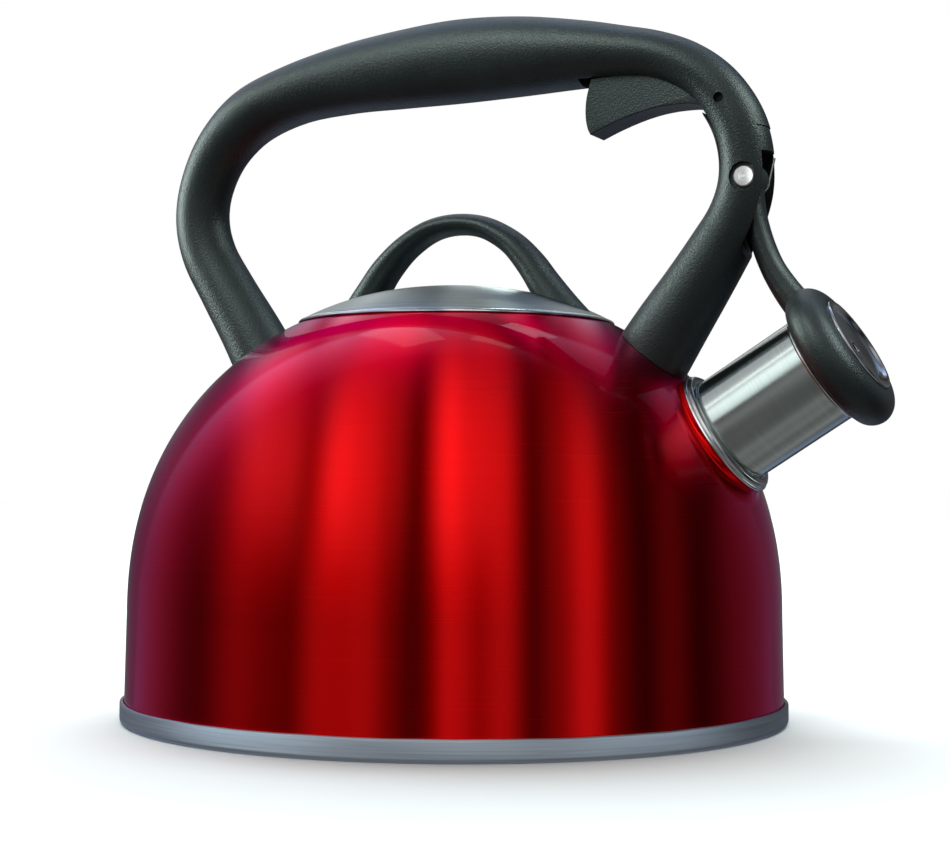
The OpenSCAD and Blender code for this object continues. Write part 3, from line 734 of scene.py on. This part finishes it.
def lidProfile():
    # spun cover: a power curve falling to a rolled bright edge, its sheet thickness below
    full, rim = lidSet["radius"], lidSet["rimFrom"]
    r = np.linspace(0, rim, 90)
    top = np.stack([r, lidTop(r)], 1)
    z = float(lidTop(rim))
    roll = smoothPath([(rim, z), (rim + 0.3, z - 0.22), (rim + 0.75, z - 0.32), (full - 0.35, z - 0.62),
                       (full, z - 1.05), (full - 0.15, z - 1.4), (full - 0.7, lidSet["edge"] - 0.28),
                       (rim + 0.1, z - 1.0)], 5)[1:]
    inner = np.stack([r[::-1], lidTop(r[::-1]) - lidSet["sheet"]], 1)
    return np.concatenate([top, roll, inner])


lid = solid(turned("lidCover", lidProfile(), 256, False))
for side in (-1, 1):
    t = math.radians(lidSet["screwLean"]) * side
    holeAxes = np.array(((math.cos(t), 0, math.sin(t)), (0, 1, 0), (-math.sin(t), 0, math.cos(t))))
    hole = [(0, -5), (lidSet["screwHole"], -5), (lidSet["screwHole"], 5), (0, 5)]
    carve(lid, [turned("lidHole", hole, 48, False,
                       (side * lidSet["screwAt"], 0, float(lidTop(lidSet["screwAt"]))), holeAxes)])
finishPiece(lid, "lid", ["lid_cover"], [lidSteel, polishedSteel], 40)
centre = readAll(lid.data.polygons, "center", 3)
onRim = np.hypot(centre[:, 0], centre[:, 1]) > lidSet["rimFrom"] * mm
lid.data.polygons.foreach_set("material_index", onRim.astype(np.int32))  # buffed rim

lidHandle = solid(sweptBar("lidHandle", lidSet["path"], 12, 56))
r = np.linspace(0, lidSet["radius"], 60)
underLid = np.concatenate([[(0, 110), (50, 110)], np.stack([r, lidTop(r) + 0.1], 1)[::-1]])
carve(lidHandle, [turned("lidCut", underLid, 192, False)])
finishPiece(lidHandle, "lid", ["lid_handle"], [handleNylon], 30)
print("stage: lid made")

# CAD pieces that stay, with finishes of their own
bareNodes = {"kettle_floor": insideSteel, "heat_disc": castAluminium, "rear_handle_bracket": insideSteel,
             "front_handle_bracket": insideSteel, "handle_screws": insideSteel, "trigger_pin": blackSteel,
             "rivet_washer": insideSteel, "arm_spring": springWire, "whistle_barrel": insideSteel,
             "whistle_back_plate": insideSteel, "lid_skirt": insideSteel, "lid_screws": insideSteel,
             "lid_washers": insideSteel}
for name, finish in bareNodes.items():
    nodes[name].data.materials.clear()
    nodes[name].data.materials.append(finish)

# Floor, lamps and surroundings, in metres and degrees. The room is made of soft upright panels
# that lean back overhead, so that they draw straight tall bands down the round body. Each is
# placed by how far across the body its band falls, from -1 at the left edge to 1 at the right,
# seen from the camera's side: (across, radiance). "low" is the light near the horizon, "high"
# what the same panels give from 35 degrees up
studioSet = {
    "floorHalf": 4.0, "floorColour": "#cccccc", "floorLamp": 6.8, "floorLampColour": "#f6fffd",
    "floorLampWidth": 86.0, "lampDistance": 1.5, "aimHeight": 0.12, "ambient": "#1a1c1d",
    "low": [(-1.0, 0.07), (-0.88, 0.14), (-0.73, 0.02), (-0.62, 0.15), (-0.53, 0.04), (-0.47, 0.0),
            (-0.39, 0.32), (-0.33, 0.24), (-0.25, 0.36), (-0.17, 0.08), (-0.13, 0.0), (-0.07, 0.0),
            (-0.015, 0.50), (0.02, 0.40), (0.07, 0.14), (0.14, 0.46), (0.22, 0.0), (0.30, 0.20),
            (0.38, 0.66), (0.46, 0.08), (0.54, 0.0), (0.62, 0.09), (0.70, 0.0), (0.84, 0.09),
            (1.0, 0.11)],
    "high": [(-1.0, 0.14), (-0.84, 0.20), (-0.70, 0.16), (-0.57, 0.86), (-0.49, 0.78), (-0.42, 0.26),
             (-0.34, 1.4), (-0.26, 0.95), (-0.18, 0.46), (-0.10, 0.0), (-0.015, 1.5), (0.04, 0.95),
             (0.13, 0.80), (0.22, 0.0), (0.30, 0.26), (0.38, 0.70), (0.46, 0.08), (0.54, 0.0),
             (0.64, 0.08), (0.76, 0.0), (1.0, 0.03)],
    "brightest": 1.5, "behind": 0.1, "edgePanel": "#b3cdff", "edgePower": 3.2, "below": 0.14}
# lamps: name, azimuth from the camera's side, elevation, width, height, radiance
blackParts = [handle, cover, trigger, arm, capShell, lidHandle]
steelParts = [spoutTube, spoutBead, dish] + [nodes[n] for n in bareNodes]
lampSet = [
    ("blackParts", blackParts, "#f2fffb", [
        ("gripKey", -50, 46, 0.5, 0.5, 12.0), ("gripSide", -104, 14, 0.5, 0.9, 14.0),
        ("gripFill", 80, 42, 0.35, 0.5, 20.0), ("gripBack", 180, 60, 1.2, 0.6, 0.6)]),
    ("steelParts", steelParts, "#f4fffc", [
        ("steelKey", -61, 19, 0.55, 0.75, 1.4), ("steelLine", -80, 34, 0.1, 0.5, 2.2),
        ("steelFront", 10, 12, 0.9, 0.5, 0.2)]),
    ("lidParts", [lid], "#f0fffb", [
        ("lidWedge", 173, 34, 0.1, 0.5, 9.0), ("lidGlow", 180, 24, 1.6, 0.9, 0.25),
        ("lidRim", 0, 20, 1.6, 0.5, 3.0)]),
    ("baseParts", [baseCap], "#e6f4ff", [
        ("rimLeft", -72, 4, 1.5, 0.5, 2.6), ("rimFront", 0, 4, 1.5, 0.5, 0.9),
        ("rimRight", 66, 4, 1.5, 0.5, 1.6)]),
    ("beadParts", [spoutBead], "#f4fffc", [
        ("beadLeft", -35, 5, 1.0, 1.0, 1.4), ("beadRight", 110, 20, 0.6, 1.0, 1.4)]),
    ("rivetParts", [rivet], "#ffffff", [("rivetLight", 0, 8, 1.2, 1.2, 7.0)]),
    ("bodyParts", [shell], "#ffffff", [
        ("backLeft", -158, 62, 0.25, 0.5, 1.6), ("backRight", 158, 62, 0.25, 0.5, 1.6)])]

# paper sweep, a dull white that takes the kettle's soft shadow and gives no light back
half = studioSet["floorHalf"] / mm
corners = np.array([[(-half, -half, 0), (half, -half, 0)], [(-half, half, 0), (half, half, 0)]])
floor = solid(gridMesh("floor", corners, False, False, np.array([0.0, 1.0, 1.0]),
                       np.array([0.0, 1.0, 1.0])))
floorFinish, _, floorShader = startFinish("whitePaperSweep")
floorShader.inputs["Base Color"].default_value = linear(studioSet["floorColour"])
floorShader.inputs["Roughness"].default_value = 0.9
floorShader.inputs["Specular IOR Level"].default_value = 0.0
floor.data.materials.append(floorFinish)
floor.visible_glossy = False
floor.visible_diffuse = False


def hang(lamp, name, azimuth, elevation, distance, group):
    # a lamp that shines at the kettle from an azimuth, an elevation and a distance, on a group
    made = bpy.data.objects.new(name, lamp)
    a = math.radians(cameraSet["turn"] - 90 + azimuth)
    e = math.radians(elevation)
    back = np.array((math.cos(a) * math.cos(e), math.sin(a) * math.cos(e), math.sin(e)))
    side = np.array((-math.sin(a), math.cos(a), 0))
    place = back * distance + np.array((0, 0, studioSet["aimHeight"]))
    columns = np.stack([side, np.cross(back, side), back, place], 1)
    made.matrix_world = Matrix([*columns.tolist(), (0, 0, 0, 1)])
    made.visible_camera = False
    made.light_linking.receiver_collection = group
    bpy.context.scene.collection.objects.link(made)


def groupOf(name, members):
    # the only objects that a lamp lights
    group = bpy.data.collections.new(name)
    for member in members:
        group.objects.link(member)
    return group


floorLamp = bpy.data.lights.new("floorLamp", "SUN")
floorLamp.color = linear(studioSet["floorLampColour"])[:3]
floorLamp.energy = studioSet["floorLamp"]
floorLamp.angle = math.radians(studioSet["floorLampWidth"])
hang(floorLamp, "floorLamp", 180, 52, 3, groupOf("floorOnly", [floor]))
for groupName, members, colour, lamps in lampSet:
    group = groupOf(groupName, members)
    for name, azimuth, elevation, width, height, radiance in lamps:
        softBox = bpy.data.lights.new(name, "AREA")
        softBox.shape = "RECTANGLE"
        softBox.size, softBox.size_y = width, height
        softBox.energy = radiance * math.pi * width * height
        softBox.color = linear(colour)[:3]
        hang(softBox, name, azimuth, elevation, studioSet["lampDistance"], group)

world = bpy.data.worlds.new("studio")
bpy.context.scene.world = world
world.use_nodes = True
sky = world.node_tree
sky.nodes.clear()
heading = addNode(sky, "ShaderNodeTexCoord").outputs["Generated"]
upward = addNode(sky, "ShaderNodeSeparateXYZ", links={0: heading}).outputs["Z"]


def towards(azimuth, lift=0.0):
    # how far a direction points towards an azimuth, with a share of how far it points up
    a = math.radians(cameraSet["turn"] - 90 + azimuth)
    return addNode(sky, "ShaderNodeVectorMath", {
        "operation": "DOT_PRODUCT", 1: (math.cos(a), math.sin(a), lift)}, {0: heading}).outputs["Value"]


def soft(source, fromMin, fromMax, toMin, toMax):
    return mapped(sky, source, fromMin, fromMax, toMin, toMax, "SMOOTHSTEP")


# place of a direction's band across the body
# = its sideways part / length of (direction + the way to the camera)
toCamera = towards(0)
length = addNode(sky, "ShaderNodeMath", {"operation": "MULTIPLY_ADD", 1: 2.0, 2: 2.001}, {0: toCamera})
length = addNode(sky, "ShaderNodeMath", {"operation": "SQRT"}, {0: length.outputs[0]})
across = addNode(sky, "ShaderNodeMath", {"operation": "DIVIDE"}, {0: towards(90), 1: length.outputs[0]})
across = mapped(sky, across.outputs[0], -1, 1, 0, 1)


def bands(panels):
    # radiance as a share of the brightest panel
    peak = studioSet["brightest"]
    return ramp(sky, across, [((place + 1) / 2, (light / peak, light / peak, light / peak, 1))
                              for place, light in panels], "EASE")


panels = addNode(sky, "ShaderNodeMix", links={0: soft(upward, 0.05, 0.6, 0, 1),
                                              2: bands(studioSet["low"]), 3: bands(studioSet["high"])})
fading = times(sky, soft(upward, 0.55, 0.9, 0, 1), soft(toCamera, 0.6, -0.5, 0, 1))
strength = mapped(sky, fading, 0, 1, studioSet["brightest"], studioSet["behind"])
front = times(sky, times(sky, panels.outputs[0], strength), soft(upward, -0.5, -0.05, 0.3, 1))
ground = soft(upward, -0.25, -0.9, 0, studioSet["below"])
white = addNode(sky, "ShaderNodeMath", {"operation": "ADD"}, {0: front, 1: ground})
# a curved panel above and behind, bright at its far edge, where it ends, and fading forwards
edge = ramp(sky, mapped(sky, towards(180, 0.24), -1, 1, 0, 1),
            [(0.70, (0, 0, 0, 1)), (0.79, (0.4, 0.4, 0.4, 1)), (0.87, (1, 1, 1, 1)), (0.888, (0, 0, 0, 1))])
edge = times(sky, edge, mapped(sky, times(sky, upward, upward), 0.0, 0.8, 0.02, 1.0))
edge = times(sky, times(sky, edge, soft(towards(90), -0.5, 0.5, 1.0, 0.45)), studioSet["edgePower"])
tint = addNode(sky, "ShaderNodeVectorMath", {
    "operation": "SCALE", 0: linear(studioSet["edgePanel"])[:3]}, {"Scale": edge})
glow = addNode(sky, "ShaderNodeVectorMath", {
    "operation": "ADD", 1: linear(studioSet["ambient"])[:3]}, {0: white.outputs[0]})
glow = addNode(sky, "ShaderNodeVectorMath", {"operation": "ADD"}, {0: glow.outputs[0], 1: tint.outputs[0]})
roomLight = addNode(sky, "ShaderNodeBackground", {"Strength": 1.0}, {"Color": glow.outputs[0]})
whiteWall = addNode(sky, "ShaderNodeBackground", {"Color": (1, 1, 1, 1), "Strength": 1.0})
cameraRay = addNode(sky, "ShaderNodeLightPath").outputs["Is Camera Ray"]
seen = addNode(sky, "ShaderNodeMixShader", links={
    0: cameraRay, 1: roomLight.outputs[0], 2: whiteWall.outputs[0]})
addNode(sky, "ShaderNodeOutputWorld", links={"Surface": seen.outputs[0]})
print("stage: studio made")
